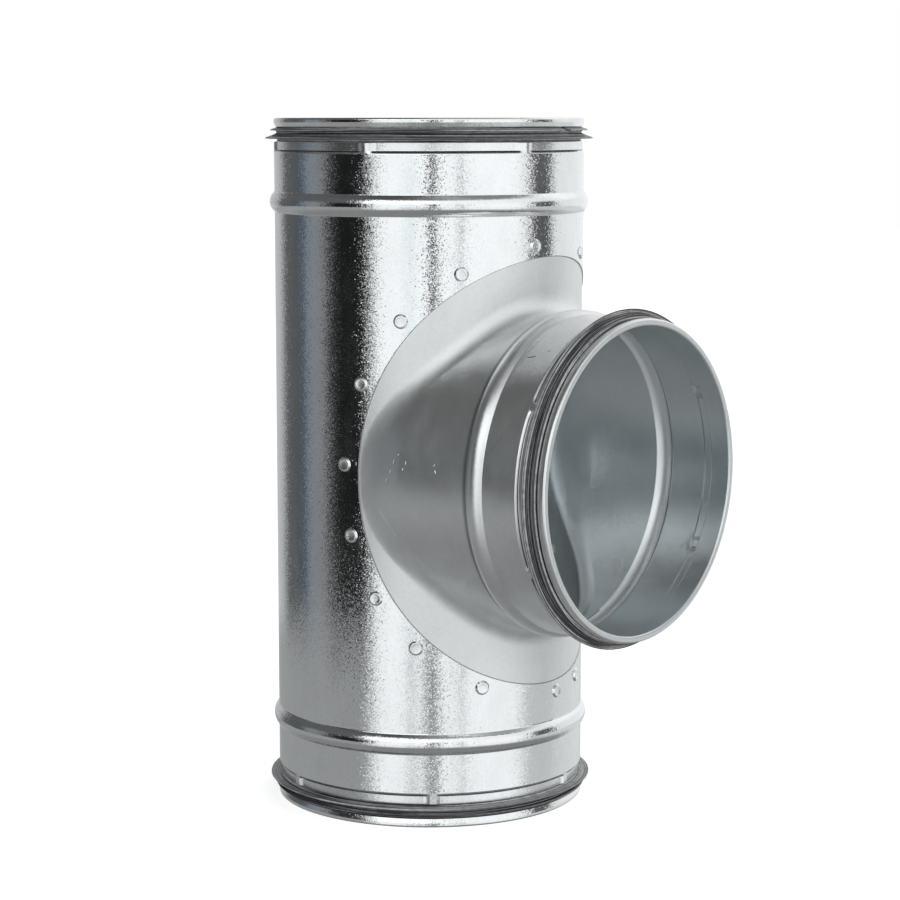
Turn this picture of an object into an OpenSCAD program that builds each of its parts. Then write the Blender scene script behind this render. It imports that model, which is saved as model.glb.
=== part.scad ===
// Spiral duct tee of galvanised sheet steel, 160 mm size, with a branch of the same size.
// The run is a beaded tube with a round window. A pressed saddle sits behind the window's
// edge, clinched to the tube, and carries the branch's collar. Each of the three ends is
// stepped down, and its rim is folded over the base of a double-lip rubber gasket.
// Millimetres. The origin is on the run's axis in the plane of its lower end,
// +Z runs up the run, and the branch points along +X.

/* [Tube] */
// Outer diameter of the run's plain wall and of the branch's collar
tube_d = 159; // [155:0.5:163]
// Thickness of the sheet
sheet = 0.6; // [0.5:0.05:0.7]
// Length of the run from rim to rim
run_l = 352; // [351:1:420]

/* [Branch] */
// Distance from the run's axis to the plane of the branch's mouth
branch_reach = 136.5; // [134:0.5:170]
// Width of the window in the run, measured round the tube's outer face
window_w = 211.6; // [210:0.2:214]
// Height of the window in the run
window_h = 216; // [214:0.5:218]
// Overlap of the saddle's flange behind the window's edge
flange_lap = 14; // [13.5:0.5:15.5]
// Radius of the pressed fillet between flange and collar
fillet_r = 12.5; // [10:0.5:14]

/* [Ends] */
// Distance from a rim to the middle of its stop bead
bead_s = 42.5; // [40:0.5:45]
// Height of the stop bead above the wall
bead_h = 2.4; // [2.3:0.1:3]
// Radius of the bead's round top
bead_top_r = 6.7; // [5:0.1:6.8]
// Radius of the bead's feet
bead_foot_r = 1.0; // [0.6:0.1:1.1]
// Distance from a rim to the shoulder where the wall steps down to the band
shoulder_s = 16.9; // [16:0.1:20]
// Step from the wall down to the band
band_drop = 1.2; // [0.8:0.1:1.4]
// Distance from a rim to the step between the band and the gasket's seat
seat_s = 11.7; // [11.6:0.1:12.4]
// Outer diameter of the folded rim
rim_d = 159.2; // [158:0.1:160]
// Thickness of the folded rim, with the gasket's base inside it
rim_t = 3.8; // [3.6:0.1:4.2]
// Length of the part of the rim that is folded back
fold_l = 4.4; // [3.6:0.1:4.6]

/* [Gaskets] */
// Outer diameter at the tip of the first lip
small_lip_d = 162.6; // [161:0.2:164]
// Outer diameter at the tip of the second lip
large_lip_d = 167.8; // [165:0.2:170]

/* [Clinches] */
// Gap between the window's mean radius and the ring of the clinches, in the unrolled wall
clinch_gap = 6.8; // [6.4:0.1:7.2]
// Diameter of a clinch at its foot
clinch_d = 7.2; // [6:0.2:7.4]
// Height of a clinch above the tube's wall
clinch_h = 1.0; // [0.6:0.1:1.2]

/* [Tool marks] */
// Height of the ridges that the forming segments leave across the band
ridge_h = 0.9; // [0.5:0.1:1.1]
// Radius of such a ridge
ridge_r = 4; // [3:0.2:5]

/* [Hidden] */
$fn = 180;

tube_r = tube_d / 2;
wall_r = tube_r - sheet;
branch_z = run_l / 2;
rim_r = rim_d / 2;
seat_in_r = rim_r - rim_t;
seat_r = seat_in_r + sheet;
band_in_r = wall_r - band_drop;
band_r = band_in_r + sheet;

// The clinches go round the window on a circle of the unrolled wall, at the spacing of a
// hand-fed tool. The angles are measured from the +Y side of the branch.
clinch_turns = [9, 29, 49, 72, 96, 118, 137, 156, 177, 195, 212, 228, 248, 273, 285, 309, 331, 350];
clinch_ring_r = (window_w + window_h) / 4 + clinch_gap;
// Forming segments round each end, and the turn of the first joint between two of them
segments = 6;
upper_segment_turn = 47;
lower_segment_turn = 11;
branch_segment_turn = 1.5;

// Sections of the saddle round the collar, and points on each curved stretch of a section
saddle_steps = 96;
flange_steps = 3;
fillet_steps = 8;
// Where the saddle's pressed sheet ends and the beaded collar begins
collar_x = branch_reach - bead_s - bead_half() - 0.3;
// The fillet ends here at the latest, and at mid-height it leaves the tube at this place
fillet_end_min = 48;
fillet_start_max = 104.5;
// The saddle's last ring is this far inside both faces of the collar's sheet, so that its
// flats clear the round faces
join_gap = 0.02;
join_outer_r = tube_r - join_gap;
join_inner_r = wall_r + join_gap + tube_r * (1 - cos(180 / saddle_steps));

// Plain geometry
function unit(v) = v / norm(v);
function right_of(v) = [v.y, -v.x];
function flipped(list) = [for (i = [len(list) - 1 : -1 : 0]) list[i]];
function soft_min(v, limit, p) = v / pow(1 + pow(v / limit, p), 1 / p);
function soft_max(v, limit, p) = pow(pow(v, p) + pow(limit, p), 1 / p);

// One corner of an outline, rounded: a and c are its neighbours, b is [x, y, radius]
function rounded_corner(a, b, c) =
    let (
        p = [b.x, b.y],
        u = unit(p - [a.x, a.y]),
        v = unit([c.x, c.y] - p),
        turn = acos(u * v),
        side = sign(u.x * v.y - u.y * v.x),
        reach = b[2] * tan(turn / 2),
        steps = max(1, ceil(turn / (b[2] > 3 ? 11.25 : 22.5)))
    )
    b[2] == 0 ? [p] :
    [for (i = [0 : steps])
        p - u * reach + b[2] * (sin(turn * i / steps) * u
            - side * (1 - cos(turn * i / steps)) * right_of(u))];

// An open outline from corners [x, y, radius]. The first and last points stay sharp.
function rounded_path(corners) =
    [for (i = [0 : len(corners) - 1])
        each (i == 0 || i == len(corners) - 1)
            ? [[corners[i].x, corners[i].y]]
            : rounded_corner(corners[i - 1], corners[i], corners[i + 1])];

// The same outline moved to its right by t, with every edge kept parallel
function shifted(path, t) =
    [for (i = [0 : len(path) - 1])
        let (
            u = unit(i == 0 ? path[1] - path[0] : path[i] - path[i - 1]),
            v = i == len(path) - 1 ? u : unit(path[i + 1] - path[i]),
            n = unit(right_of(u) + right_of(v))
        )
        path[i] + n * t / (n * right_of(u))];

// The closed section of a sheet whose one face is the path
function sheet_section(path) = concat(path, flipped(shifted(path, sheet)));

// The bead's flank is a straight at 45 degrees between its foot and its round top
function bead_flat() = (bead_h - (bead_top_r + bead_foot_r) * (1 - cos(45))) / sin(45);
function bead_half() = (bead_top_r + bead_foot_r) * sin(45) + bead_flat() * cos(45);

// The inner face of one end, as [radius, distance from the rim]: from the tip of the fold,
// round the rim, along the gasket's seat and the band, and over the stop bead
function end_corners() =
    let (
        foot_r = bead_foot_r + sheet,
        top_r = bead_top_r - sheet,
        flank = foot_r * tan(22.5) + bead_flat() + top_r * tan(45)
    )
    [
        [rim_r - 0.7, fold_l, 0],
        [rim_r, fold_l - 2.2, 0.9],
        [rim_r, 0, 1.2],
        [seat_in_r, 0, 1.2],
        [seat_in_r, seat_s - 0.3, 1.0],
        [band_in_r, seat_s + 0.3, 0.3],
        [band_in_r, shoulder_s - 0.7, 1.1],
        [wall_r, shoulder_s + 0.7, 0.4],
        [wall_r, bead_s - flank * cos(45), foot_r],
        [wall_r + flank * sin(45), bead_s, top_r],
        [wall_r, bead_s + flank * cos(45), foot_r]
    ];

// The gasket's closed section, as [radius, distance from the rim]. Its base lies on the
// seat with one edge inside the fold, and both lips lean away from the rim.
function gasket_path() =
    let (base_r = seat_r + 1.8, small_r = small_lip_d / 2, large_r = large_lip_d / 2)
    rounded_path([
        [seat_r, 6, 0],
        [seat_r, 1.5, 0.3],
        [base_r - 0.1, 1.5, 0.5],
        [base_r - 0.1, 4.8, 0.3],
        [base_r + 1.4, 5.3, 3.2],
        [small_r, 5.9, 0.25],
        [small_r - 0.1, 6.5, 0.2],
        [base_r + 0.9, 6.3, 1.5],
        [base_r, 7.0, 0.4],
        [base_r, 7.8, 0.5],
        [base_r + 2.6, 8.9, 4],
        [large_r, 10.0, 0.25],
        [large_r - 0.1, 10.6, 0.2],
        [base_r + 2.2, 10.3, 3.1],
        [base_r - 0.2, 10.6, 0.5],
        [base_r - 0.3, 11.3, 0.3],
        [seat_r, 10.7, 0.3],
        [seat_r, 6.5, 0]
    ]);

// Sheet metal tube with an end at each side
module beaded_tube(length) {
    low = rounded_path(concat(end_corners(), [[wall_r, length / 2, 0]]));
    high = [for (p = flipped(low)) if (p.y < length / 2) [p.x, length - p.y]];
    path = concat([for (p = low) if (p.y < length / 2) p], high);
    rotate_extrude()
        polygon(sheet_section(path));
}

// One end alone, with its rim at z = 0 and plain wall from the bead's foot to a length
module beaded_end(length) {
    rotate_extrude()
        polygon(sheet_section(rounded_path(concat(end_corners(), [[wall_r, length, 0]]))));
}

module gasket() {
    color([0.16, 0.16, 0.17])
        rotate_extrude()
            polygon(gasket_path());
}

// Stands a thing at each joint between two forming segments of an end
module at_segments(first_turn) {
    for (i = [0 : segments - 1])
        rotate([0, 0, first_turn + i * 360 / segments])
            children();
}

// The outside of a ridge across the band, for an end with its rim at z = 0
module ridge_outside() {
    difference() {
        translate([band_r + ridge_h - ridge_r, 0, seat_s - 0.3])
            cylinder(r = ridge_r, h = shoulder_s + 1 - seat_s);
        cylinder(r = band_in_r + sheet / 2, h = 2 * shoulder_s);
    }
}

// The hollow behind a ridge
module ridge_inside() {
    translate([band_r + ridge_h - ridge_r, 0, seat_s + 0.6])
        cylinder(r = ridge_r - sheet, h = shoulder_s - seat_s);
}

// Puts a thing that lies along +X at a place of the tube's wall: along is measured round
// the wall from the branch's direction, and up from the branch's axis
module on_wall(along, up) {
    translate([0, 0, branch_z + up])
        rotate([0, 0, along / tube_r * 180 / PI])
            children();
}

module at_clinches() {
    for (a = clinch_turns)
        on_wall(clinch_ring_r * cos(a), clinch_ring_r * sin(a))
            children();
}

// A clinch as a flat-topped cone round +X, from one distance from the axis to another
module clinch(from_r, to_r, foot_r) {
    translate([from_r, 0, 0])
        rotate([0, 90, 0])
            cylinder(h = to_r - from_r, r1 = foot_r + 0.25, r2 = foot_r - clinch_h, $fn = 48);
}

// The window as a solid whose sides all point at the run's axis
module window_cutter() {
    steps = 96;
    near_r = 60;
    far_r = 125;
    ring = [for (i = [0 : steps - 1])
        let (a = i * 360 / steps, turn = window_w / 2 * cos(a) / tube_r * 180 / PI)
        [cos(turn), sin(turn), window_h / 2 * sin(a)]];
    points = concat(
        [for (p = ring) [p.x * near_r, p.y * near_r, branch_z + p.z]],
        [for (p = ring) [p.x * far_r, p.y * far_r, branch_z + p.z]],
        [[near_r, 0, branch_z], [far_r, 0, branch_z]]);
    faces = [for (i = [0 : steps - 1])
        let (j = (i + 1) % steps)
        each [
            [i, steps + j, j],
            [i, steps + i, steps + j],
            [i, j, 2 * steps],
            [steps + j, steps + i, 2 * steps + 1]
        ]];
    polyhedron(points, faces);
}

// Place of a point of the unrolled inner wall, and the wall's normal there
function wall_point(along, up) =
    let (turn = along / wall_r * 180 / PI)
    [wall_r * cos(turn), wall_r * sin(turn), up];
function wall_normal(along) =
    let (turn = along / wall_r * 180 / PI)
    [cos(turn), sin(turn), 0];

// A ball of the fillet's radius rolls in the corner between the run and the collar. At the
// angle a round the collar it touches the run's wall here, in the unrolled wall.
function fillet_start(a) =
    let (
        y = (tube_r + fillet_r) * sin(a),
        x = sqrt(max(0, pow(wall_r + fillet_r, 2) - y * y)),
        along = wall_r * atan2(y, x) * PI / 180,
        up = (tube_r + fillet_r) * cos(a),
        far = norm([along, up])
    )
    [along, up] * soft_min(far, fillet_start_max, 24) / far;

// It touches the collar at this distance from the run's axis. The bead cuts it short at the
// crown, and at mid-height the sheet runs on to meet the collar later.
function fillet_end(a) =
    let (
        y = (tube_r + fillet_r) * sin(a),
        x = sqrt(max(0, pow(wall_r + fillet_r, 2) - y * y))
    )
    soft_min(soft_max(x, fillet_end_min, 8), collar_x, 24);

function bezier(p, t) =
    pow(1 - t, 3) * p[0] + 3 * pow(1 - t, 2) * t * p[1]
    + 3 * (1 - t) * t * t * p[2] + pow(t, 3) * p[3];
function bezier_way(p, t) =
    unit(pow(1 - t, 2) * (p[1] - p[0]) + 2 * (1 - t) * t * (p[2] - p[1]) + t * t * (p[3] - p[2]));

// One section of the saddle at the angle a, as [point, normal] on its outer face: the
// flange behind the wall, the fillet, and the collar as far as its bead
function saddle_face(a) =
    let (
        start = fillet_start(a),
        way = unit(start),
        edge = [way.x * (window_w / 2 + flange_lap), way.y * (window_h / 2 + flange_lap)],
        end_x = fillet_end(a),
        run_n = wall_normal(start.x),
        collar_n = [0, sin(a), cos(a)],
        turn = acos(run_n * collar_n),
        across = unit(cross(collar_n, run_n)),
        p0 = wall_point(start.x, start.y),
        p3 = [end_x, tube_r * sin(a), tube_r * cos(a)],
        chord = norm(p3 - p0),
        round = 4 / 3 * tan(turn / 4) * fillet_r,
        p1 = p0 + cross(across, run_n) * max(round, 0.18 * chord),
        p2 = p3 - cross(across, collar_n) * max(min(round, 0.55 * (p3.x - p0.x)), 0.38 * chord),
        curve = [p0, p1, p2, p3]
    )
    concat(
        [for (i = [0 : flange_steps - 1])
            let (q = edge + (start - edge) * i / flange_steps)
            [wall_point(q.x, q.y), wall_normal(q.x)]],
        [for (i = [0 : fillet_steps])
            let (t = i / fillet_steps)
            [bezier(curve, t), cross(bezier_way(curve, t), across)]]
    );

// The pressed sheet of the saddle, from its flange to the foot of the collar's bead. Its
// last ring is thinner and ends inside the collar's own sheet, so that the two join.
module pressed_saddle() {
    sections = [for (j = [0 : saddle_steps - 1])
        let (
            a = j * 360 / saddle_steps,
            face = saddle_face(a),
            collar_n = [0, sin(a), cos(a)]
        )
        concat(
            [for (f = face) f[0]],
            [[collar_x, 0, 0] + collar_n * join_outer_r],
            [[collar_x + 0.5, 0, 0] + collar_n * (tube_r - sheet / 3)],
            [[collar_x + 0.5, 0, 0] + collar_n * (tube_r - 2 * sheet / 3)],
            [[collar_x, 0, 0] + collar_n * join_inner_r],
            flipped([for (f = face) f[0] - f[1] * sheet])
        )];
    count = len(sections[0]);
    points = [for (s = sections) each s];
    faces = [for (j = [0 : saddle_steps - 1], i = [0 : count - 1])
        let (
            here = j * count,
            next = (j + 1) % saddle_steps * count,
            k = (i + 1) % count
        )
        each [
            [here + i, next + k, here + k],
            [here + i, next + i, next + k]
        ]];
    translate([0, 0, branch_z])
        polyhedron(points, faces);
}

module run_tube() {
    color([0.78, 0.80, 0.82])
        difference() {
            union() {
                beaded_tube(run_l);
                at_segments(lower_segment_turn)
                    ridge_outside();
                translate([0, 0, run_l])
                    mirror([0, 0, 1])
                        at_segments(upper_segment_turn)
                            ridge_outside();
                at_clinches()
                    clinch(tube_r - 0.25, tube_r + clinch_h, clinch_d / 2);
            }
            window_cutter();
            at_segments(lower_segment_turn)
                ridge_inside();
            translate([0, 0, run_l])
                mirror([0, 0, 1])
                    at_segments(upper_segment_turn)
                        ridge_inside();
            at_clinches()
                clinch(wall_r - 0.25, wall_r + clinch_h, clinch_d / 2 - sheet);
        }
}

module branch_saddle() {
    color([0.68, 0.70, 0.71])
        difference() {
            union() {
                pressed_saddle();
                translate([branch_reach, 0, branch_z])
                    rotate([0, -90, 0])
                        beaded_end(branch_reach - collar_x);
                translate([branch_reach, 0, branch_z])
                    rotate([0, -90, 0])
                        at_segments(branch_segment_turn)
                            ridge_outside();
                at_clinches()
                    clinch(wall_r - 0.4, wall_r + clinch_h - 0.05, clinch_d / 2 - sheet - 0.1);
            }
            translate([branch_reach, 0, branch_z])
                rotate([0, -90, 0])
                    at_segments(branch_segment_turn)
                        ridge_inside();
            at_clinches()
                clinch(wall_r - sheet - 0.4, wall_r + clinch_h - sheet, clinch_d / 2 - 2 * sheet);
        }
}

module upper_gasket() {
    translate([0, 0, run_l])
        mirror([0, 0, 1])
            gasket();
}

module lower_gasket() {
    gasket();
}

module branch_gasket() {
    translate([branch_reach, 0, branch_z])
        rotate([0, -90, 0])
            gasket();
}

run_tube();
branch_saddle();
upper_gasket();
lower_gasket();
branch_gasket();
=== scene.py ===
"""Looks of the spiral duct tee: galvanised run, pressed saddle with its collar, and rubber gaskets."""

import math
import random

import bmesh
import bpy
from mathutils import Matrix, Vector


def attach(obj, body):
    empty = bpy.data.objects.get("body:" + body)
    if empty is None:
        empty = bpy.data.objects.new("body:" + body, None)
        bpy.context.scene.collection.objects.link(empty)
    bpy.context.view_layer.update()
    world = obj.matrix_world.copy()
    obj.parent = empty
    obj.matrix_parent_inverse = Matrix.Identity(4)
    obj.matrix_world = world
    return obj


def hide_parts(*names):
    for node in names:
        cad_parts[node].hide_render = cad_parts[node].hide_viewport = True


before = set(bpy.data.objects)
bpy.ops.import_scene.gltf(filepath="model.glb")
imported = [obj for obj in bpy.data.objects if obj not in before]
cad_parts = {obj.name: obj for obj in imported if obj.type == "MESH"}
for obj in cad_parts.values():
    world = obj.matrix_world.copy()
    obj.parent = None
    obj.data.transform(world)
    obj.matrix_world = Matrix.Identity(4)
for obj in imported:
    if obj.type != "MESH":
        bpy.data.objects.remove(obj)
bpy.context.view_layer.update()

# Sizes in millimetres, as in the part's source
MM = 0.001
TUBE_R = 79.5
SHEET = 0.6
WALL_R = TUBE_R - SHEET
RUN_L = 352.0
BRANCH_Z = RUN_L / 2
BRANCH_REACH = 136.5
WINDOW_W = 211.6
WINDOW_H = 216.0
FLANGE_LAP = 14.0
FILLET_R = 12.5
FILLET_END_MIN = 48.0
FILLET_START_MAX = 104.5
BEAD_S = 42.5
BEAD_H = 2.4
BEAD_TOP_R = 6.7
BEAD_FOOT_R = 1.0
SHOULDER_S = 16.9
BAND_DROP = 1.2
SEAT_S = 11.7
RIM_R = 79.6
RIM_T = 3.8
FOLD_L = 4.4
SEAT_IN_R = RIM_R - RIM_T
SEAT_R = SEAT_IN_R + SHEET
BAND_IN_R = WALL_R - BAND_DROP
BAND_R = BAND_IN_R + SHEET
SMALL_LIP_R = 81.3
LARGE_LIP_R = 83.9
CLINCH_RING_R = (WINDOW_W + WINDOW_H) / 4 + 6.8
CLINCH_R = 3.6
CLINCH_H = 1.0
CLINCH_TURNS = (9, 29, 49, 72, 96, 118, 137, 156, 177, 195, 212, 228, 248, 273, 285, 309, 331, 350)
SEGMENTS = 6
LOWER_SEGMENT_TURN = 11
UPPER_SEGMENT_TURN = 47
BRANCH_SEGMENT_TURN = 1.5
TAB_REACH = 3.4
TEAR_TURN = math.radians(8.5)
TAB_SWELL = 0.1

# Steps round each turned piece
TURN_STEPS = 288
GASKET_STEPS = 240


# Plain geometry on points (x, y)
def unit(v):
    size = math.hypot(*v)
    return tuple(c / size for c in v)


def right_of(v):
    return (v[1], -v[0])


def rounded_corner(a, b, c, step):
    """Points of one rounded corner: a and c are its neighbours, b is (x, y, radius)."""
    p = (b[0], b[1])
    if b[2] == 0:
        return [p]
    u = unit((p[0] - a[0], p[1] - a[1]))
    v = unit((c[0] - p[0], c[1] - p[1]))
    turn = math.acos(max(-1.0, min(1.0, u[0] * v[0] + u[1] * v[1])))
    side = 1 if u[0] * v[1] - u[1] * v[0] > 0 else -1
    reach = b[2] * math.tan(turn / 2)
    steps = max(2, math.ceil(math.degrees(turn) / step))
    out = []
    for i in range(steps + 1):
        along = math.sin(turn * i / steps) * b[2] - reach
        across = side * (1 - math.cos(turn * i / steps)) * b[2]
        r = right_of(u)
        out.append((p[0] + u[0] * along - r[0] * across, p[1] + u[1] * along - r[1] * across))
    return out


def rounded_path(corners, step=11.25):
    path = [corners[0][:2]]
    for a, b, c in zip(corners, corners[1:], corners[2:]):
        path += rounded_corner(a, b, c, step)
    return path + [corners[-1][:2]]


def shifted(path, t):
    """The same outline moved to its right by t, with every edge kept parallel."""
    out = []
    for i, p in enumerate(path):
        a, b = (path[1], path[0]) if i == 0 else (p, path[i - 1])
        u = unit((a[0] - b[0], a[1] - b[1]))
        v = u if i == len(path) - 1 else unit((path[i + 1][0] - p[0], path[i + 1][1] - p[1]))
        n = unit((right_of(u)[0] + right_of(v)[0], right_of(u)[1] + right_of(v)[1]))
        k = t / (n[0] * right_of(u)[0] + n[1] * right_of(u)[1])
        out.append((p[0] + n[0] * k, p[1] + n[1] * k))
    return out


def end_corners():
    """Inner face of one end as (radius, distance from the rim, rounding), from the tip of
    the fold round the rim, along the seat and the band, and over the stop bead."""
    bead_flat = (BEAD_H - (BEAD_TOP_R + BEAD_FOOT_R) * (1 - math.cos(math.pi / 4))) / math.sin(math.pi / 4)
    foot_r = BEAD_FOOT_R + SHEET
    top_r = BEAD_TOP_R - SHEET
    flank = foot_r * math.tan(math.pi / 8) + bead_flat + top_r
    rise = flank * math.sin(math.pi / 4)
    return [
        (RIM_R - 0.7, FOLD_L, 0),
        (RIM_R, FOLD_L - 2.2, 0.9),
        (RIM_R, 0, 1.2),
        (SEAT_IN_R, 0, 1.2),
        (SEAT_IN_R, SEAT_S - 0.3, 1.0),
        (BAND_IN_R, SEAT_S + 0.3, 0.3),
        (BAND_IN_R, SHOULDER_S - 0.7, 1.1),
        (WALL_R, SHOULDER_S + 0.7, 0.4),
        (WALL_R, SHOULDER_S + TAB_REACH, 0),
        (WALL_R, BEAD_S - rise, foot_r),
        (WALL_R + rise, BEAD_S, top_r),
        (WALL_R, BEAD_S + rise, foot_r),
    ]


def gasket_path():
    base_r = SEAT_R + 1.8
    return rounded_path([
        (SEAT_R, 6, 0),
        (SEAT_R, 1.5, 0.3),
        (base_r - 0.1, 1.5, 0.5),
        (base_r - 0.1, 4.8, 0.3),
        (base_r + 1.4, 5.3, 3.2),
        (SMALL_LIP_R, 5.9, 0.25),
        (SMALL_LIP_R - 0.1, 6.5, 0.2),
        (base_r + 0.9, 6.3, 1.5),
        (base_r, 7.0, 0.4),
        (base_r, 7.8, 0.5),
        (base_r + 2.6, 8.9, 4),
        (LARGE_LIP_R, 10.0, 0.25),
        (LARGE_LIP_R - 0.1, 10.6, 0.2),
        (base_r + 2.2, 10.3, 3.1),
        (base_r - 0.2, 10.6, 0.5),
        (base_r - 0.3, 11.3, 0.3),
        (SEAT_R, 10.7, 0.3),
        (SEAT_R, 6.5, 0),
    ], 22.5)


# Modelling by hand
def select_none():
    if bpy.context.mode != "OBJECT":
        bpy.ops.object.mode_set(mode="OBJECT")
    bpy.ops.object.select_all(action="DESELECT")


def new_ring(name, places):
    """A circle whose vertices are put at the places one by one, left open in edit mode."""
    select_none()
    bpy.ops.mesh.primitive_circle_add(vertices=len(places), radius=0.01)
    piece = bpy.context.object
    piece.name = name
    piece.data.name = name
    bpy.ops.object.mode_set(mode="EDIT")
    bpy.ops.mesh.select_all(action="SELECT")
    work = bmesh.from_edit_mesh(piece.data)
    order = work.verts.layers.int.new("order")
    for i, v in enumerate(work.verts):
        v[order] = i
        v.co = Vector(places[i]) * MM
    bmesh.update_edit_mesh(piece.data)
    return piece


def pull_ring(piece, places):
    """Extrudes the selected ring and puts the new vertices at the places."""
    bpy.ops.mesh.extrude_region()
    work = bmesh.from_edit_mesh(piece.data)
    order = work.verts.layers.int["order"]
    for v in work.verts:
        if v.select:
            v.co = Vector(places[v[order]]) * MM
    bmesh.update_edit_mesh(piece.data)


def close_up(piece, distance=0.00001):
    """Merges doubles, turns every face outwards and leaves edit mode."""
    bpy.ops.mesh.select_all(action="SELECT")
    bpy.ops.mesh.remove_doubles(threshold=distance)
    bpy.ops.mesh.normals_make_consistent(inside=False)
    bpy.ops.object.mode_set(mode="OBJECT")
    return piece


def ringed(name, rings):
    """A closed skin through rings of places, the last one joined to the first."""
    piece = new_ring(name, rings[0])
    for places in rings[1:]:
        pull_ring(piece, places)
    pull_ring(piece, rings[0])
    return close_up(piece)


def turned(name, outline, steps):
    """A closed or axis-to-axis outline of (radius, height) spun once round Z."""
    piece = new_ring(name, [(r, 0, z) for r, z in outline])
    if outline[0][0] == 0:
        bpy.ops.mesh.select_all(action="DESELECT")
        work = bmesh.from_edit_mesh(piece.data)
        for e in work.edges:
            if all(v.co.x < 1e-9 for v in e.verts):
                e.select = True
        bpy.ops.mesh.delete(type="EDGE")
        bpy.ops.mesh.select_all(action="SELECT")
    bpy.ops.mesh.spin(steps=steps, angle=math.tau, center=(0, 0, 0), axis=(0, 0, 1))
    return close_up(piece)


def placed(piece, matrix):
    piece.data.transform(matrix)
    piece.data.update()
    return piece


def copied(piece, name, matrix=Matrix()):
    twin = piece.copy()
    twin.data = piece.data.copy()
    twin.name = name
    twin.data.name = name
    bpy.context.scene.collection.objects.link(twin)
    return placed(twin, matrix)


def joined(pieces, name):
    select_none()
    for piece in pieces:
        piece.select_set(True)
    bpy.context.view_layer.objects.active = pieces[0]
    bpy.ops.object.join()
    pieces[0].name = name
    return pieces[0]


def combined(piece, tool, way):
    """Cuts the tool from the piece, or joins it on, and removes the tool."""
    select_none()
    bpy.context.view_layer.objects.active = piece
    modifier = piece.modifiers.new(way, "BOOLEAN")
    modifier.object = tool
    modifier.operation = way
    modifier.solver = "EXACT"
    bpy.ops.object.modifier_apply(modifier=modifier.name)
    bpy.data.objects.remove(tool)
    return piece


def smoothed(piece, degrees=32):
    select_none()
    piece.select_set(True)
    bpy.context.view_layer.objects.active = piece
    bpy.ops.object.shade_smooth_by_angle(angle=math.radians(degrees))
    even = piece.modifiers.new("even", "WEIGHTED_NORMAL")
    even.keep_sharp = True
    bpy.ops.object.modifier_apply(modifier=even.name)
    return piece


def tab_share(turn, first, width=1.9, ramp=0.8):
    """1 on a tab that a forming segment leaves across the band, and 0 beside it, by angle."""
    pitch = 360 / SEGMENTS
    away = abs((turn - first + pitch / 2) % pitch - pitch / 2)
    return max(0.0, min(1.0, (width - away) / ramp + 0.5))


def tabbed_radius(r, s, share):
    """Radius of a point of an end at the distance s from the rim, where a tab keeps the
    band at the wall's radius and stands a little proud of the wall next to the shoulder."""
    if not SEAT_S + 0.45 < s < SHOULDER_S + TAB_REACH / 2 or r < BAND_IN_R - 0.2:
        return r
    full = TUBE_R if r > BAND_R - 0.3 else WALL_R
    return r + share * (full + TAB_SWELL - r)


def raise_tabs(piece, first, rim_z, up):
    """Raises the band to the wall's radius at each tab of an end."""
    for v in piece.data.vertices:
        r = math.hypot(v.co.x, v.co.y) / MM
        share = tab_share(math.degrees(math.atan2(v.co.y, v.co.x)), first)
        wanted = tabbed_radius(r, (v.co.z / MM - rim_z) * up, share)
        v.co.x *= wanted / r
        v.co.y *= wanted / r


def beaded_tube():
    low = rounded_path(end_corners() + [(WALL_R, RUN_L / 2, 0)])[:-1]
    path = low + [(r, RUN_L - s) for r, s in reversed(low)]
    outline = path + list(reversed(shifted(path, SHEET)))
    tube = turned("tube_sheet", outline, TURN_STEPS)
    raise_tabs(tube, LOWER_SEGMENT_TURN, 0, 1)
    raise_tabs(tube, UPPER_SEGMENT_TURN, RUN_L, -1)
    return tube


def window_tool():
    """The window as a solid whose sides all point at the run's axis."""
    def ring(radius):
        places = []
        for i in range(TURN_STEPS):
            a = math.tau * i / TURN_STEPS
            turn = WINDOW_W / 2 * math.cos(a) / TUBE_R
            places.append((radius * math.cos(turn), radius * math.sin(turn), BRANCH_Z + WINDOW_H / 2 * math.sin(a)))
        return places
    near, far = 60.0, 125.0
    tool = new_ring("window_tool", [(near, 0, BRANCH_Z)] * TURN_STEPS)
    pull_ring(tool, ring(near))
    pull_ring(tool, ring(far))
    pull_ring(tool, [(far, 0, BRANCH_Z)] * TURN_STEPS)
    return close_up(tool)


def on_wall(along, up):
    """Stands a thing that rises along +Z on the tube's wall, along +X at the branch."""
    return (
        Matrix.Translation((0, 0, (BRANCH_Z + up) * MM))
        @ Matrix.Rotation(along / TUBE_R, 4, "Z")
        @ Matrix.Rotation(math.pi / 2, 4, "Y")
    )


def clinches(name, outline):
    """A turned button stood at each clinch round the window, all as one tool."""
    button = turned(name, outline, 40)
    buttons = []
    for turn in CLINCH_TURNS:
        a = math.radians(turn)
        place = on_wall(CLINCH_RING_R * math.cos(a), CLINCH_RING_R * math.sin(a))
        buttons.append(copied(button, name, place))
    bpy.data.objects.remove(button)
    return joined(buttons, name)


def button_outline(foot_r, from_h, to_h):
    """Half section of a clinch's button, whose top is slightly dished."""
    top = rounded_path([
        (foot_r + 0.2, from_h, 0),
        (foot_r, TUBE_R + 0.1, 0.3),
        (foot_r - CLINCH_H * 0.8, to_h, 0.45),
        (foot_r * 0.4, to_h - 0.25, 1.2),
        (0, to_h - 0.3, 0),
    ], 20)
    return [(0, from_h)] + top


def run_sheet():
    tube = beaded_tube()
    combined(tube, clinches("buttons", button_outline(CLINCH_R, TUBE_R - 0.3, TUBE_R + CLINCH_H)), "UNION")
    combined(tube, window_tool(), "DIFFERENCE")
    hollow = [(0, WALL_R - 0.3), (CLINCH_R - SHEET + 0.2, WALL_R - 0.3), (CLINCH_R - 1.4, WALL_R + CLINCH_H - 0.2), (0, WALL_R + CLINCH_H - 0.2)]
    combined(tube, clinches("hollows", hollow), "DIFFERENCE")
    return smoothed(tube)


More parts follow.
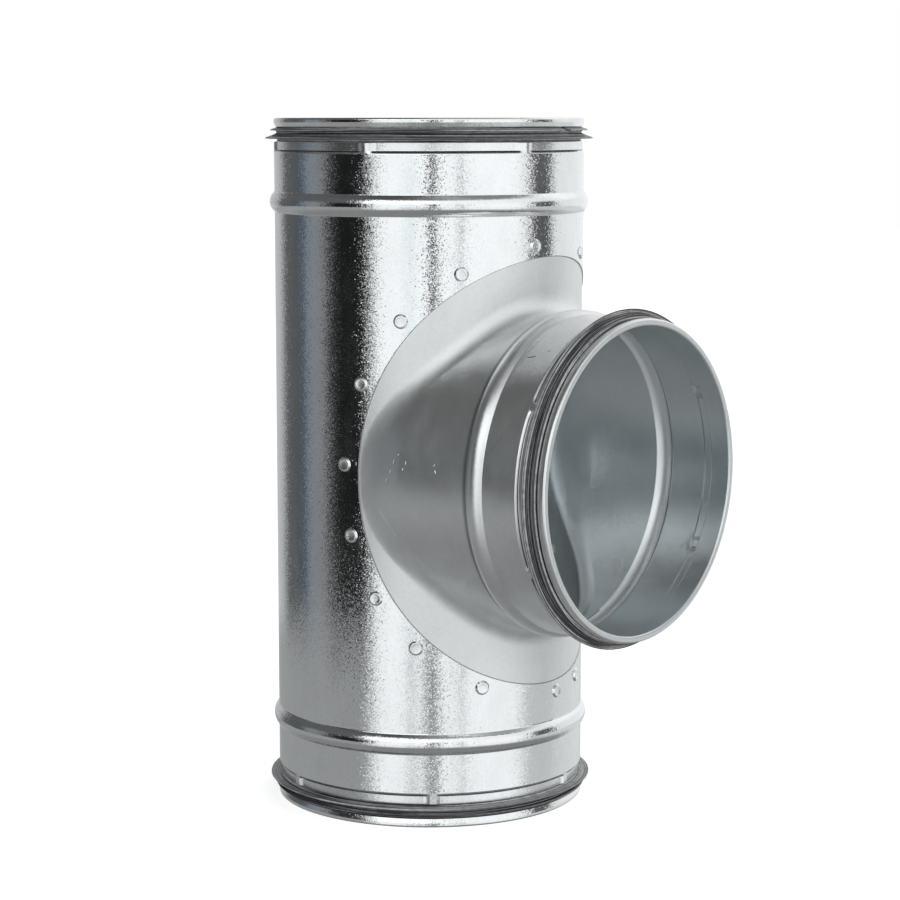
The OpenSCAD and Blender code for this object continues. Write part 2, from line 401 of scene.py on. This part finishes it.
# The saddle: a ball of the fillet's radius rolls in the corner between run and collar
def soft_min(v, limit, p):
    return v / (1 + (v / limit) ** p) ** (1 / p)


def soft_max(v, limit, p):
    return (v**p + limit**p) ** (1 / p)


def ball_x(a):
    y = (TUBE_R + FILLET_R) * math.sin(a)
    return y, math.sqrt(max(0.0, (WALL_R + FILLET_R) ** 2 - y * y))


def fillet_start(a):
    y, x = ball_x(a)
    along = WALL_R * math.atan2(y, x)
    up = (TUBE_R + FILLET_R) * math.cos(a)
    far = math.hypot(along, up)
    k = soft_min(far, FILLET_START_MAX, 24) / far
    return along * k, up * k


def on_inner_wall(along, up):
    turn = along / WALL_R
    return Vector((WALL_R * math.cos(turn), WALL_R * math.sin(turn), up))


def wall_normal(along):
    turn = along / WALL_R
    return Vector((math.cos(turn), math.sin(turn), 0))


def saddle_face(a, collar_x, flange_steps=8, fillet_steps=26):
    """Outer face of the saddle at the angle a, as (point, normal) from its edge to the collar."""
    start = fillet_start(a)
    way = unit(start)
    edge = (way[0] * (WINDOW_W / 2 + FLANGE_LAP), way[1] * (WINDOW_H / 2 + FLANGE_LAP))
    end_x = soft_min(soft_max(ball_x(a)[1], FILLET_END_MIN, 8), collar_x, 24)
    run_n = wall_normal(start[0])
    collar_n = Vector((0, math.sin(a), math.cos(a)))
    turn = run_n.angle(collar_n)
    across = collar_n.cross(run_n).normalized()
    p0 = on_inner_wall(*start)
    p3 = Vector((end_x, TUBE_R * math.sin(a), TUBE_R * math.cos(a)))
    chord = (p3 - p0).length
    ball = 4 / 3 * math.tan(turn / 4) * FILLET_R
    p1 = p0 + across.cross(run_n) * max(ball, 0.18 * chord)
    p2 = p3 - across.cross(collar_n) * max(min(ball, 0.55 * (p3.x - p0.x)), 0.38 * chord)
    face = []
    for i in range(flange_steps):
        t = i / flange_steps
        q = (edge[0] + (start[0] - edge[0]) * t, edge[1] + (start[1] - edge[1]) * t)
        face.append((on_inner_wall(*q), wall_normal(q[0])))
    for i in range(fillet_steps + 1):
        t = i / fillet_steps
        u = 1 - t
        point = p0 * u**3 + p1 * (3 * u * u * t) + p2 * (3 * u * t * t) + p3 * t**3
        tangent = (p1 - p0) * u * u + (p2 - p1) * (2 * u * t) + (p3 - p2) * t * t
        face.append((point, tangent.cross(across).normalized()))
    return face


def saddle_sheet():
    lift = Vector((0, 0, BRANCH_Z))
    inner = rounded_path(end_corners())
    outer = shifted(inner, SHEET)
    collar_x = BRANCH_REACH - inner[-1][1] - 0.3
    sections = []
    for i in range(TURN_STEPS):
        a = math.tau * i / TURN_STEPS
        share = tab_share(math.degrees(a), BRANCH_SEGMENT_TURN)

        def on_collar(r, s):
            r = tabbed_radius(r, s, share)
            return Vector((BRANCH_REACH - s, r * math.sin(a), r * math.cos(a))) + lift

        face = saddle_face(a, collar_x)
        sections.append(
            [p + lift for p, n in face]
            + [on_collar(r, s) for r, s in reversed(outer)]
            + [on_collar(r, s) for r, s in inner]
            + [p - n * SHEET + lift for p, n in reversed(face)]
        )
    saddle = ringed("saddle_sheet", [list(ring) for ring in zip(*sections)])
    return saddle


def saddle_with_buttons():
    saddle = saddle_sheet()
    top = WALL_R + CLINCH_H - 0.05
    button = [(0, WALL_R - 0.4), (CLINCH_R - SHEET + 0.1, WALL_R - 0.4), (CLINCH_R - 1.5, top - 0.2), (0, top - 0.2)]
    combined(saddle, clinches("buttons", button), "UNION")
    foot = WALL_R - SHEET
    hollow = [(0, foot - 0.4), (CLINCH_R - 2 * SHEET + 0.3, foot - 0.4), (CLINCH_R - 2.0, foot + CLINCH_H - 0.2), (0, foot + CLINCH_H - 0.2)]
    combined(saddle, clinches("hollows", hollow), "DIFFERENCE")
    return smoothed(saddle)


def to_branch_end():
    """Stands an end that is made round Z, rim at the origin, at the branch's mouth."""
    return Matrix.Translation((BRANCH_REACH * MM, 0, BRANCH_Z * MM)) @ Matrix.Rotation(-math.pi / 2, 4, "Y")


def to_upper_end():
    return Matrix.Translation((0, 0, RUN_L * MM)) @ Matrix.Rotation(math.pi, 4, "X")


# Wear on the saddle and its collar. A kind of mark is its width and height in metres and its
# darkness, and a mark goes from one place to another. A place is mm along the branch and mm
# round it, upwards from its side towards -Y.
NICK = (0.00065, -0.00023, 0)
BURR = (0.0007, 0.0003, 0)
SCRATCH = (0.0004, -0.00014, 0)
RUB = (0.0011, -0.00005, 0.1)
TOOL_LINE = (0.0003, -0.0001, 0.25)
SMUDGE = (0.0007, 0, 0.85)
FAINT_SMUDGE = (0.0008, 0, 0.45)
SADDLE_MARKS = (
    ((43.7, 9.5), (44.1, 10.8), NICK),
    ((41.7, 4.8), (42.1, 5.8), NICK),
    ((39.3, 0.2), (39.7, 1.4), NICK),
    ((46.6, 13.7), (47.2, 13.9), NICK),
    ((50.9, 9.8), (50.9, 10.6), BURR),
    ((50.1, 7.1), (50.3, 6.7), NICK),
    ((68.0, 10.8), (69.0, 10.6), BURR),
    ((69.6, 7.8), (70.1, 7.0), BURR),
    ((31.7, -14.5), (41.8, -28.0), SCRATCH),
    ((51.1, -38.8), (54.0, -44.0), SCRATCH),
    ((103.3, 71.7), (106.9, 72.7), SMUDGE),
    ((112.0, 76.9), (112.8, 77.8), FAINT_SMUDGE),
    ((101.8, 66.5), (102.1, 90.2), TOOL_LINE),
    ((100.4, 61.9), (100.9, 84.4), TOOL_LINE),
    ((103.4, 20.8), (107.7, 28.0), RUB),
)


# Materials
def node_group(name, inputs, outputs):
    tree = bpy.data.node_groups.new(name, "ShaderNodeTree")
    for label, kind, value in inputs:
        made = tree.interface.new_socket(label, in_out="INPUT", socket_type=kind)
        made.default_value = value
    for label, kind in outputs:
        tree.interface.new_socket(label, in_out="OUTPUT", socket_type=kind)
    return tree, tree.nodes.new("NodeGroupInput"), tree.nodes.new("NodeGroupOutput")


class Nodes:
    """Short hand for making and linking the nodes of one tree."""

    def __init__(self, tree):
        self.tree = tree

    def add(self, kind, settings=None, **inputs):
        made = self.tree.nodes.new(kind)
        for key, value in (settings or {}).items():
            setattr(made, key, value)
        for key, value in inputs.items():
            self.fill(made.inputs[key.replace("_", " ")], value)
        return made

    def fill(self, socket, value):
        if isinstance(value, bpy.types.NodeSocket):
            self.tree.links.new(value, socket)
        else:
            socket.default_value = value

    def maths(self, way, a, b=0.0, c=0.0, clamp=False):
        made = self.add("ShaderNodeMath", {"operation": way, "use_clamp": clamp})
        for socket, value in zip(made.inputs, (a, b, c)):
            self.fill(socket, value)
        return made.outputs["Value"]

    def vectors(self, way, a, b=(0, 0, 0)):
        made = self.add("ShaderNodeVectorMath", {"operation": way})
        self.fill(made.inputs[0], a)
        self.fill(made.inputs[1], b)
        return made.outputs["Value" if way in ("DOT_PRODUCT", "LENGTH", "DISTANCE") else "Vector"]

    def scaled(self, vector, factor):
        made = self.add("ShaderNodeVectorMath", {"operation": "SCALE"}, Scale=factor)
        self.fill(made.inputs[0], vector)
        return made.outputs["Vector"]

    def ranged(self, value, low, high, to_low=0.0, to_high=1.0):
        """Maps low..high smoothly onto to_low..to_high."""
        made = self.add("ShaderNodeMapRange", {"interpolation_type": "SMOOTHSTEP"}, Value=value)
        self.fill(made.inputs["From Min"], low)
        self.fill(made.inputs["From Max"], high)
        self.fill(made.inputs["To Min"], to_low)
        self.fill(made.inputs["To Max"], to_high)
        return made.outputs["Result"]

    def noise(self, vector, grain, detail=2.0, roughness=0.5):
        made = self.add("ShaderNodeTexNoise", Vector=vector, Scale=1 / grain, Detail=detail, Roughness=roughness)
        return made.outputs["Fac"]

    def stretched(self, vector, scale):
        return self.vectors("MULTIPLY", vector, scale)

    def mixed(self, a, b, factor, way="MIX"):
        made = self.add("ShaderNodeMix", {"data_type": "RGBA", "blend_type": way})
        for value, socket in ((factor, "Factor"), (a, "A"), (b, "B")):
            self.fill(made.inputs[socket], value)
        return made.outputs["Result"]


def skin_group(name, grain, fine, tilt, swell):
    """Skin of a zinc coat: fine grain, crystals that each lean a little, streaks along the
    rolled sheet and long swells. Gives the height in metres, the lean, where the coat is dull,
    and its tone."""
    tree, given, wanted = node_group(
        name,
        [("Vector", "NodeSocketVector", (0, 0, 0))],
        [
            ("Height", "NodeSocketFloat"),
            ("Lean", "NodeSocketVector"),
            ("Dull", "NodeSocketFloat"),
            ("Tone", "NodeSocketFloat"),
        ],
    )
    on = Nodes(tree)
    place = given.outputs["Vector"]
    cells = on.add("ShaderNodeTexVoronoi", {"feature": "F1"}, Vector=place, Scale=1 / grain)
    # most crystals lean little and a few lean much, mainly across the rolled sheet
    lean = on.vectors("SUBTRACT", cells.outputs["Color"], (0.5, 0.5, 0.5))
    lean = on.scaled(lean, on.maths("MULTIPLY", on.vectors("DOT_PRODUCT", lean, lean), tilt * 4))
    tree.links.new(on.vectors("MULTIPLY", lean, (1, 1, 0.2)), wanted.inputs["Lean"])
    bumps = on.noise(place, grain * 1.3, 2, 0.6)
    streak = on.noise(on.stretched(place, (1, 1, 0.12)), 0.008, 2, 0.5)
    wave = on.noise(place, 0.045, 1)
    strength = on.ranged(on.noise(place, 0.006, 2), 0.35, 0.65, 0.6, 1.2)
    height = on.maths("MULTIPLY", on.maths("MULTIPLY", bumps, fine), strength)
    height = on.maths("MULTIPLY_ADD", streak, swell, height)
    height = on.maths("MULTIPLY_ADD", wave, swell * 6, height)
    tree.links.new(height, wanted.inputs["Height"])
    clouds = on.noise(on.stretched(place, (1, 1, 0.5)), 0.014, 4, 0.65)
    tree.links.new(on.ranged(clouds, 0.35, 0.7), wanted.inputs["Dull"])
    specks = on.noise(place, 0.0016, 3, 0.7)
    tree.links.new(on.maths("MULTIPLY_ADD", clouds, 0.6, on.maths("MULTIPLY", specks, 0.4)), wanted.inputs["Tone"])
    return tree


def end_line_group():
    """1 in the corner under the shoulder of a round end, where shadow and dirt gather. Along
    is the distance from the rim and Radius the distance from the end's axis."""
    tree, given, wanted = node_group(
        "end_line",
        [("Along", "NodeSocketFloat", 0.0), ("Radius", "NodeSocketFloat", 0.0)],
        [("Share", "NodeSocketFloat")],
    )
    on = Nodes(tree)
    away = on.maths("ABSOLUTE", on.maths("SUBTRACT", given.outputs["Along"], (SHOULDER_S - 0.45) * MM))
    share = on.ranged(away, 0.00022, 0.0005, 1, 0)
    deep = on.ranged(given.outputs["Radius"], (BAND_R + 0.35) * MM, (BAND_R + 0.7) * MM, 1, 0)
    outside = on.ranged(given.outputs["Radius"], (BAND_IN_R + 0.2) * MM, (BAND_IN_R + 0.4) * MM)
    tree.links.new(on.maths("MULTIPLY", on.maths("MULTIPLY", share, deep), outside), wanted.inputs["Share"])
    return tree


def window_line_group():
    """1 on the flange right beside the window's edge, where a thin line of shade is painted."""
    tree, given, wanted = node_group(
        "window_line", [("Vector", "NodeSocketVector", (0, 0, 0))], [("Share", "NodeSocketFloat")]
    )
    on = Nodes(tree)
    parts = on.add("ShaderNodeSeparateXYZ", Vector=given.outputs["Vector"]).outputs
    along = on.maths("MULTIPLY", on.maths("ARCTAN2", parts["Y"], parts["X"]), TUBE_R / (WINDOW_W / 2))
    up = on.maths("DIVIDE", on.maths("SUBTRACT", parts["Z"], BRANCH_Z * MM), WINDOW_H / 2 * MM)
    far = on.maths("SQRT", on.maths("ADD", on.maths("POWER", along, 2.0), on.maths("POWER", up, 2.0)))
    share = on.ranged(on.maths("ABSOLUTE", on.maths("SUBTRACT", far, 0.9985)), 0.001, 0.0038, 1, 0)
    tree.links.new(share, wanted.inputs["Share"])
    return tree


def stroke_group():
    """1 on a stroke between two places, and 0 a width away from it."""
    tree, given, wanted = node_group(
        "stroke",
        [
            ("Vector", "NodeSocketVector", (0, 0, 0)),
            ("From", "NodeSocketVector", (0, 0, 0)),
            ("To", "NodeSocketVector", (0, 0, 0)),
            ("Width", "NodeSocketFloat", 0.001),
        ],
        [("Share", "NodeSocketFloat")],
    )
    on = Nodes(tree)
    start = given.outputs["From"]
    line = on.vectors("SUBTRACT", given.outputs["To"], start)
    reach = on.vectors("SUBTRACT", given.outputs["Vector"], start)
    t = on.maths("DIVIDE", on.vectors("DOT_PRODUCT", reach, line), on.vectors("DOT_PRODUCT", line, line))
    t = on.maths("MINIMUM", on.maths("MAXIMUM", t, 0.0), 1.0)
    away = on.vectors("LENGTH", on.vectors("SUBTRACT", reach, on.scaled(line, t)))
    share = on.ranged(on.maths("DIVIDE", away, given.outputs["Width"]), 0.2, 1.0, 1, 0)
    tree.links.new(share, wanted.inputs["Share"])
    return tree


# Where painted shade and dirt lie inside and outside the branch's bead, from the mouth
GROOVE_S = 38.3
FOOT_S = 47.5


def metal(name, colour, roughness, skin, dulling, toning=0.05, kind="run", marks=()):
    """A zinc coat over a skin group, with painted shade and dirt in its corners, and with its
    marks as (from, to, kind)."""
    made = bpy.data.materials.new(name)
    made.use_nodes = True
    tree = made.node_tree
    on = Nodes(tree)
    shader = tree.nodes["Principled BSDF"]
    shader.inputs["Metallic"].default_value = 1.0
    place = on.add("ShaderNodeTexCoord").outputs["Object"]
    parts = on.add("ShaderNodeSeparateXYZ", Vector=place).outputs
    coat = on.add("ShaderNodeGroup", {"node_tree": skin}, Vector=place)
    height = coat.outputs["Height"]
    stained = 0.0
    up = on.maths("SUBTRACT", parts["Z"], BRANCH_Z * MM)
    round_branch = on.maths("ARCTAN2", up, on.maths("MULTIPLY", parts["Y"], -1.0))
    unrolled = on.add("ShaderNodeCombineXYZ", X=parts["X"], Y=on.maths("MULTIPLY", round_branch, TUBE_R * MM), Z=0.0)
    for start, end, (width, rise, darkness) in marks:
        stroke = on.add("ShaderNodeGroup", {"node_tree": STROKE}, Vector=unrolled.outputs["Vector"])
        stroke.inputs["From"].default_value = (start[0] * MM, start[1] * MM, 0)
        stroke.inputs["To"].default_value = (end[0] * MM, end[1] * MM, 0)
        stroke.inputs["Width"].default_value = width
        if rise:
            height = on.maths("MULTIPLY_ADD", stroke.outputs["Share"], rise, height)
        if darkness:
            stained = on.maths("MAXIMUM", stained, on.maths("MULTIPLY", stroke.outputs["Share"], darkness))
    bump = on.add("ShaderNodeBump", Strength=1.0, Distance=1.0, Height=height)
    leaning = on.vectors("NORMALIZE", on.vectors("ADD", bump.outputs["Normal"], coat.outputs["Lean"]))
    tree.links.new(leaning, shader.inputs["Normal"])
    rough = on.ranged(coat.outputs["Dull"], 0.0, 1.0, roughness, roughness + dulling)
    dark = tuple(c * (1 - toning) for c in colour)
    light = tuple(min(1.0, c * (1 + toning)) for c in colour)
    tone = on.mixed((*dark, 1), (*light, 1), on.ranged(coat.outputs["Tone"], 0.3, 0.7))
    across = on.add("ShaderNodeCombineXYZ", X=0.0, Y=parts["Y"], Z=up)
    upright = on.add("ShaderNodeCombineXYZ", X=parts["X"], Y=parts["Y"], Z=0.0)
    branch_radius = on.vectors("LENGTH", across.outputs["Vector"])
    run_radius = on.vectors("LENGTH", upright.outputs["Vector"])
    if kind == "branch":
        radius = branch_radius
        along = on.maths("SUBTRACT", BRANCH_REACH * MM, parts["X"])
    else:
        radius = run_radius
        along = on.maths("MINIMUM", parts["Z"], on.maths("SUBTRACT", RUN_L * MM, parts["Z"]))
    if kind == "run":
        # the stepped bands and the tops of the clinches are matt
        rolled = on.ranged(along, SHOULDER_S * MM, (SHOULDER_S + 1) * MM, 1, 0)
        rolled = on.maths("MULTIPLY", rolled, on.ranged(along, 0.009, 0.010))
        proud = on.maths("MULTIPLY", on.ranged(radius, (TUBE_R + 0.45) * MM, (TUBE_R + 0.6) * MM),
                         on.ranged(along, 0.053, 0.055))
        matt = on.maths("MAXIMUM", on.maths("MULTIPLY", rolled, 0.25), on.maths("MULTIPLY", proud, 0.26))
        rough = on.maths("MAXIMUM", rough, matt)
    if kind == "branch":
        # the flange is duller than the drawn part
        rough = on.maths("ADD", rough, on.ranged(run_radius, WALL_R * MM, 0.086, 0.16, 0))
    if kind == "inside":
        # the pressed edge between run and branch has a painted highlight in its colour, and is rougher
        off_run = on.maths("SUBTRACT", run_radius, (WALL_R - 0.6) * MM)
        off_branch = on.maths("SUBTRACT", branch_radius, WALL_R * MM)
        lit_edge = on.ranged(on.maths("MINIMUM", off_run, off_branch), 0.0001, 0.0007)
        rough = on.maths("ADD", rough, on.maths("MULTIPLY", lit_edge, 0.14))
        tone = on.mixed(tone, (0.93, 0.94, 0.95, 1), lit_edge)
    tree.links.new(rough, shader.inputs["Roughness"])
    corner = on.add("ShaderNodeGroup", {"node_tree": END_LINE}, Along=along, Radius=radius).outputs["Share"]
    if kind == "inside":
        # painted shade and dirt in the near edge of the branch's groove
        away = on.maths("ABSOLUTE", on.maths("SUBTRACT", parts["X"], (BRANCH_REACH - GROOVE_S) * MM))
        line = on.ranged(away, 0.0003, 0.0009, 1, 0)
        corner = on.maths("MAXIMUM", corner, on.maths("MULTIPLY", line, 0.8))
    if kind == "branch":
        # shadow and dirt along the foot of the bead
        away = on.maths("ABSOLUTE", on.maths("SUBTRACT", along, FOOT_S * MM))
        foot = on.maths("MULTIPLY", on.ranged(away, 0.0006, 0.0027, 1, 0), 0.6)
        corner = on.maths("MAXIMUM", corner, foot)
        # painted shade in a thin line along the window's edge
        edge = on.add("ShaderNodeGroup", {"node_tree": WINDOW_LINE}, Vector=place).outputs["Share"]
        corner = on.maths("MAXIMUM", corner, on.maths("MULTIPLY", edge, 0.65))
    if marks:
        corner = on.maths("MAXIMUM", corner, stained)
    # the colour is darkened by painted shade in the corners and along the window's edge, by dirt in the corners, and
    # by the marks' stains
    tone = on.mixed(tone, (0.03, 0.03, 0.035, 1), on.maths("MULTIPLY", corner, 0.92))
    tree.links.new(tone, shader.inputs["Base Color"])
    return made


def torn(seal):
    """Tears a bit out of the first lip of the upper gasket."""
    select_none()
    bpy.ops.mesh.primitive_ico_sphere_add(subdivisions=1, radius=1)
    tool = bpy.context.object
    shape = Matrix.Rotation(math.radians(-16), 4, "X") @ Matrix.Diagonal((0.0036, 0.0052, 0.0019, 1))
    chance = random.Random(4)
    for v in tool.data.vertices:
        v.co *= chance.uniform(0.75, 1.15)
    tool.data.transform(Matrix.Rotation(TEAR_TURN, 4, "Z") @ Matrix.Translation((0.0808, 0, 0.3459)) @ shape)
    return combined(seal, tool, "DIFFERENCE")


def rubber(name, kind):
    """Dark grey rubber with lines round its ring, whose light lines are painted highlights on the lips."""
    made = bpy.data.materials.new(name)
    made.use_nodes = True
    tree = made.node_tree
    on = Nodes(tree)
    shader = tree.nodes["Principled BSDF"]
    place = on.add("ShaderNodeTexCoord").outputs["Object"]
    parts = on.add("ShaderNodeSeparateXYZ", Vector=place).outputs
    first, second, along = parts["X"], parts["Y"], parts["Z"]
    if kind == "branch":
        first, second, along = parts["Y"], on.maths("SUBTRACT", parts["Z"], BRANCH_Z * MM), parts["X"]
    radius = on.vectors("LENGTH", on.add("ShaderNodeCombineXYZ", X=first, Y=second, Z=0.0).outputs["Vector"])
    bent = on.maths("MULTIPLY", first, 0.012)
    lines_at = on.add("ShaderNodeCombineXYZ", X=radius, Y=bent, Z=along).outputs["Vector"]
    lines = on.noise(lines_at, 0.0009, 2, 0.7)
    dust = on.noise(place, 0.003, 3, 0.6)
    # the light lines are painted highlights along the lips, and a dust noise varies them
    light = on.maths("MULTIPLY", on.ranged(lines, 0.46, 0.6), on.ranged(dust, 0.3, 0.6, 0.6, 1))
    colour = on.mixed((0.03, 0.03, 0.033, 1), (0.66, 0.665, 0.675, 1), light)
    tree.links.new(colour, shader.inputs["Base Color"])
    rough = on.ranged(light, 0.0, 1.0, 0.34, 0.6)
    tree.links.new(rough, shader.inputs["Roughness"])
    bump = on.add("ShaderNodeBump", Strength=1.0, Distance=0.00012, Height=lines)
    tree.links.new(bump.outputs["Normal"], shader.inputs["Normal"])
    return made


def looks_inwards(face):
    """Whether a face of the sheet is on the inside of the run and the branch."""
    c, n = face.center, face.normal
    from_run = Vector((c.x, c.y, 0))
    from_branch = Vector((0, c.y, c.z - BRANCH_Z * MM))
    if c.x > 0.09:
        return n.dot(from_branch) < 0 and from_branch.length < (TUBE_R + BEAD_H) * MM
    out = n.dot(from_run)
    if c.x > 0.03:
        out += n.dot(from_branch)
    return out < 0


def finished(piece, material, node, inner=None):
    """Gives a piece its material, and another one to the faces that look inwards."""
    piece.data.materials.clear()
    piece.data.materials.append(material)
    if inner:
        piece.data.materials.append(inner)
    for face in piece.data.polygons:
        face.material_index = 1 if inner and looks_inwards(face) else 0
    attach(piece, "root")
    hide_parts(node)
    return piece


# Floor, light and camera
FLOOR_GLOW = 0.72


def floor():
    select_none()
    bpy.ops.mesh.primitive_plane_add(size=12, location=(0, 0, -0.0002))
    plane = bpy.context.object
    plane.name = "floor"
    made = bpy.data.materials.new("pale_floor")
    made.use_nodes = True
    shader = made.node_tree.nodes["Principled BSDF"]
    shader.inputs["Base Color"].default_value = (0.9, 0.9, 0.9, 1)
    shader.inputs["Roughness"].default_value = 0.9
    plane.data.materials.append(made)
    plane.visible_glossy = False
    plane.visible_shadow = False
    glow = made.node_tree.nodes.new("ShaderNodeEmission")
    light = made.node_tree.nodes.new("ShaderNodeLightPath")
    both = made.node_tree.nodes.new("ShaderNodeAddShader")
    made.node_tree.links.new(light.outputs["Is Camera Ray"], glow.inputs["Strength"])
    glow.inputs["Color"].default_value = (FLOOR_GLOW, FLOOR_GLOW, FLOOR_GLOW, 1)
    made.node_tree.links.new(shader.outputs["BSDF"], both.inputs[0])
    made.node_tree.links.new(glow.outputs["Emission"], both.inputs[1])
    made.node_tree.links.new(both.outputs["Shader"], made.node_tree.nodes["Material Output"].inputs["Surface"])
    return plane


# The studio by the turn in degrees from the camera's side, positive to its right: how bright
# it is at eye height, how bright above, and how bright below eye height
EYE_LEVEL = (
    (-178, 1.00), (-166, 0.55), (-147, 0.48), (-139, 0.3), (-133, 0.12), (-118, 0.10), (-107, (0.08, 0.10, 0.125)),
    (-102, (0.21, 0.24, 0.27)), (-86, 0.24), (-78, 0.06), (-70, 0.012), (-49, 0.012), (-37, 1.05), (-20, 1.08),
    (-14, (0.86, 0.94, 0.95)), (-8, 1.10), (-2, 1.10), (1, 0.08), (4, 0.08), (7, 1.10), (20, 1.05), (23, 0.45),
    (26, 1.08), (66, 1.08), (78, 0.85), (83, 0.12), (99, 0.10), (105, 0.85), (120, 0.88), (150, 0.95),
)
BELOW = (
    (-178, 0.6), (-160, 0.34), (-130, 0.33), (-50, 0.32), (-38, 1.0), (-20, 1.0), (-14, 0.62),
    (-8, 1.0), (0, 0.3), (4, 0.3), (9, 1.0), (20, 0.95), (24, 0.6), (28, 1.0), (68, 1.0), (80, 0.6), (104, 0.6), (112, 0.7), (150, 0.75),
)
ABOVE = (
    (-178, 0.8), (-171, 0.35), (-162, 0.14), (-148, 0.1), (-122, 0.11), (-58, 0.11), (-46, 1.5),
    (-5, 1.4), (12, 1.1), (60, 1.0), (100, 0.85), (125, 1.1), (150, 1.0), (172, 0.85),
)
OVERHEAD = (
    (-178, 0.3), (-160, 0.1), (-35, 0.08), (-5, 0.2), (30, 0.4), (60, 0.25), (110, 0.25), (130, 0.7),
    (160, 0.5),
)


def ring_of_light(tree, direction, stops):
    """Brightness of a direction by its turn round Z."""
    gradient = tree.nodes.new("ShaderNodeTexGradient")
    gradient.gradient_type = "RADIAL"
    tree.links.new(direction, gradient.inputs["Vector"])
    ramp = tree.nodes.new("ShaderNodeValToRGB")
    tree.links.new(gradient.outputs["Fac"], ramp.inputs["Fac"])
    camera_turn = math.degrees(math.atan2(-math.cos(VIEW_SIDE), math.sin(VIEW_SIDE)))
    placed_stops = sorted(
        ((camera_turn + turn + 180) / 360 % 1.0, Vector(level if type(level) is tuple else [level] * 3))
        for turn, level in stops
    )
    elements = ramp.color_ramp.elements
    elements.remove(elements[-1])
    elements[0].position = 0.0
    # the ramp starts and ends at the same brightness, between its last stop and its first
    first, last = placed_stops[0], placed_stops[-1]
    gap = first[0] + 1 - last[0]
    seam = first[1] + (last[1] - first[1]) * (first[0] / gap)
    elements[0].color = (*seam, 1)
    for place, level in placed_stops:
        elements.new(place).color = (*level, 1)
    elements.new(1.0).color = (*seam, 1)
    return ramp.outputs["Color"]


def surroundings():
    """A white studio with soft dark gaps. The camera sees plain white."""
    world = bpy.data.worlds.new("studio")
    bpy.context.scene.world = world
    world.use_nodes = True
    tree = world.node_tree
    on = Nodes(tree)
    direction = on.add("ShaderNodeTexCoord").outputs["Generated"]
    height = on.add("ShaderNodeSeparateXYZ", Vector=direction).outputs["Z"]

    def share_above(low, high):
        return on.ranged(height, math.sin(math.radians(low)), math.sin(math.radians(high)))

    eye = ring_of_light(tree, direction, EYE_LEVEL)
    above = ring_of_light(tree, direction, ABOVE)
    below = ring_of_light(tree, direction, BELOW)
    low = on.mixed((0.24, 0.24, 0.24, 1), below, share_above(-40, -22))
    low = on.mixed(low, eye, share_above(-12.0, -10.9))
    whole = on.mixed(low, above, share_above(10, 24))
    whole = on.mixed(whole, ring_of_light(tree, direction, OVERHEAD), share_above(40, 54))
    whole = on.mixed(whole, (0.97, 0.995, 1.0, 1), 1.0, "MULTIPLY")
    light = on.add("ShaderNodeLightPath")
    seen = on.mixed(whole, (1, 1, 1, 1), light.outputs["Is Camera Ray"])
    tree.links.new(seen, tree.nodes["Background"].inputs["Color"])


VIEW_SIDE = math.radians(40.19)


def camera():
    distance, height = 1.3035, 0.3526
    yaw, pitch, roll = math.radians(-0.468), math.radians(7.54), math.radians(-0.041)
    data = bpy.data.cameras.new("camera")
    data.sensor_width = 36
    data.lens = 100.82
    data.clip_start = 0.01
    made = bpy.data.objects.new("camera", data)
    bpy.context.scene.collection.objects.link(made)
    made.matrix_world = (
        Matrix.Translation((math.sin(VIEW_SIDE) * distance, -math.cos(VIEW_SIDE) * distance, height))
        @ Matrix.Rotation(VIEW_SIDE + yaw, 4, "Z")
        @ Matrix.Rotation(math.pi / 2 - pitch, 4, "X")
        @ Matrix.Rotation(roll, 4, "Z")
    )
    bpy.context.scene.camera = made


# Put together
STROKE = stroke_group()
END_LINE = end_line_group()
WINDOW_LINE = window_line_group()
bright_skin = skin_group("bright_skin", 0.00045, 0.000003, 0.09, 0.00002)
satin_skin = skin_group("satin_skin", 0.0006, 0.00001, 0.05, 0.000012)
inner_skin = skin_group("inner_skin", 0.0012, 0.000006, 0.03, 0.000012)
zinc = metal("galvanised_sheet", (0.85, 0.86, 0.87), 0.06, bright_skin, 0.06)
pressed_zinc = metal(
    "pressed_sheet", (0.845, 0.855, 0.855), 0.31, satin_skin, 0.05, 0.05, "branch", SADDLE_MARKS
)
# the insides are darker copies of the sheet, as painted shade: much darker inside the saddle, a little darker inside
# the run
inner_zinc = metal("shaded_inner_sheet", (0.68, 0.725, 0.74), 0.28, inner_skin, 0.06, 0.04, "inside")
run_inner_zinc = metal("shaded_inner_run_sheet", (0.8, 0.83, 0.84), 0.2, inner_skin, 0.06, 0.04, "inside")
run_rubber = rubber("gasket_rubber", "run")
branch_rubber = rubber("branch_gasket_rubber", "branch")

finished(run_sheet(), zinc, "run_tube", run_inner_zinc)
finished(saddle_with_buttons(), pressed_zinc, "branch_saddle", inner_zinc)
ring = turned("lower_seal", gasket_path(), GASKET_STEPS)
for name, node, place, material in (
    ("upper_seal", "upper_gasket", to_upper_end(), run_rubber),
    ("branch_seal", "branch_gasket", to_branch_end(), branch_rubber),
):
    seal = smoothed(copied(ring, name, place))
    if node == "upper_gasket":
        torn(seal)
    finished(seal, material, node)
finished(smoothed(ring), run_rubber, "lower_gasket")

floor()
surroundings()
camera()
bpy.context.scene.view_settings.view_transform = "Standard"
